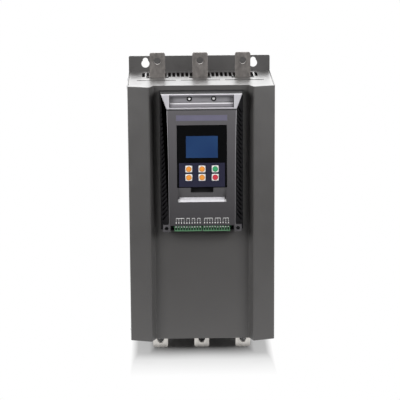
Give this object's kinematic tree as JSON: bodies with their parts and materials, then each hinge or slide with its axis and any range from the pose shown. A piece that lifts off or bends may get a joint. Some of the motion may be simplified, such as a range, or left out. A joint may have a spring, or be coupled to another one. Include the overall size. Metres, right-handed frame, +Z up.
{
  "type": "motor soft starter",
  "caption": "Wall-mounted motor soft starter: folded grey enclosure with raised wings, flat line and load bars, and a louvred control housing with plug-in display keypad.",
  "frame": {"origin": "on the rear plate's wall face, midway across, level with the lower edge of the cover", "axes": "+X to the viewer's right, +Y into the wall, +Z up"},
  "size_m": [0.2844, 0.2106, 0.599],
  "materials": {
    "paint": "grey powder coat",
    "sink": "plain extruded aluminium",
    "line_copper": "dull tinned copper",
    "load_copper": "bright tinned copper",
    "post": "moulded insulator",
    "module": "filled black moulding",
    "sensor": "black moulding",
    "fan_frame": "black moulding",
    "fan_rotor": "black moulding",
    "housing": "fine-textured black moulding",
    "fascia": "fine-textured grey moulding",
    "trim": "silver-coated moulding",
    "label": "plain film",
    "keypad": "smooth black moulding",
    "display": "blue display",
    "key_panel": "dark blue film",
    "key_orange": "orange key",
    "key_green": "green key",
    "key_red": "red key",
    "board": "green circuit board",
    "terminal": "green moulding",
    "zinc": "zinc plate",
    "screw_black": "black oxide"
  },
  "bodies": {
    "enclosure": {"rear_plate": "paint", "top_panel": "paint", "bottom_panel": "paint", "front_cover": "paint", "heat_sink": "sink", "power_module_left": "module", "power_module_mid": "module", "power_module_right": "module", "line_bar_left": "line_copper", "line_bar_mid": "line_copper", "line_bar_right": "line_copper", "load_bar_left": "load_copper", "load_bar_mid": "load_copper", "load_bar_right": "load_copper", "line_posts": "post", "load_posts": "post", "current_sensor_left": "sensor", "current_sensor_mid": "sensor", "current_sensor_right": "sensor", "fan_frame_left": "fan_frame", "fan_frame_mid": "fan_frame", "fan_frame_right": "fan_frame", "control_base": "housing", "control_fascia": "fascia", "top_trim": "trim", "label_strip": "label", "lower_ledge": "trim", "control_board": "board", "terminal_block_left": "terminal", "terminal_block_right": "terminal", "clamp_screws": "zinc", "trim_screws": "zinc", "ear_screws": "screw_black", "base_screws": "zinc", "board_screws": "zinc", "cover_screws": "zinc", "panel_screws": "zinc", "plate_screws": "zinc", "module_screws": "zinc", "bar_bolts": "zinc", "fan_screws": "zinc"},
    "keypad": {"keypad_case": "keypad", "keypad_back": "keypad", "keypad_board": "board", "display_module": "housing", "display_window": "display", "key_panel": "key_panel"},
    "upper_left_key": {"key_upper_left": "key_orange"},
    "upper_mid_key": {"key_upper_mid": "key_orange"},
    "start_key": {"key_start": "key_green"},
    "lower_left_key": {"key_lower_left": "key_orange"},
    "lower_mid_key": {"key_lower_mid": "key_orange"},
    "stop_key": {"key_stop": "key_red"},
    "left_rotor": {"fan_rotor_left": "fan_rotor"},
    "mid_rotor": {"fan_rotor_mid": "fan_rotor"},
    "right_rotor": {"fan_rotor_right": "fan_rotor"}
  },
  "joints": [
    {"name": "keypad_draw", "type": "slide", "parent": "enclosure", "child": "keypad", "axis": [0, -1, 0], "range_m": [0, 0.02]},
    {"name": "upper_left_key_press", "type": "slide", "parent": "keypad", "child": "upper_left_key", "axis": [0, 1, 0], "range_m": [0, 0.001], "stiffness_N_per_m": 1500},
    {"name": "upper_mid_key_press", "type": "slide", "parent": "keypad", "child": "upper_mid_key", "axis": [0, 1, 0], "range_m": [0, 0.001], "stiffness_N_per_m": 1500},
    {"name": "start_key_press", "type": "slide", "parent": "keypad", "child": "start_key", "axis": [0, 1, 0], "range_m": [0, 0.001], "stiffness_N_per_m": 1500},
    {"name": "lower_left_key_press", "type": "slide", "parent": "keypad", "child": "lower_left_key", "axis": [0, 1, 0], "range_m": [0, 0.001], "stiffness_N_per_m": 1500},
    {"name": "lower_mid_key_press", "type": "slide", "parent": "keypad", "child": "lower_mid_key", "axis": [0, 1, 0], "range_m": [0, 0.001], "stiffness_N_per_m": 1500},
    {"name": "stop_key_press", "type": "slide", "parent": "keypad", "child": "stop_key", "axis": [0, 1, 0], "range_m": [0, 0.001], "stiffness_N_per_m": 1500},
    {"name": "left_fan_spin", "type": "hinge", "parent": "enclosure", "child": "left_rotor", "pos_m": [-0.083, -0.0375, 0.012], "axis": [0, 0, 1], "continuous": true},
    {"name": "mid_fan_spin", "type": "hinge", "parent": "enclosure", "child": "mid_rotor", "pos_m": [0, -0.0375, 0.012], "axis": [0, 0, 1], "continuous": true},
    {"name": "right_fan_spin", "type": "hinge", "parent": "enclosure", "child": "right_rotor", "pos_m": [0.083, -0.0375, 0.012], "axis": [0, 0, 1], "continuous": true}
  ]
}
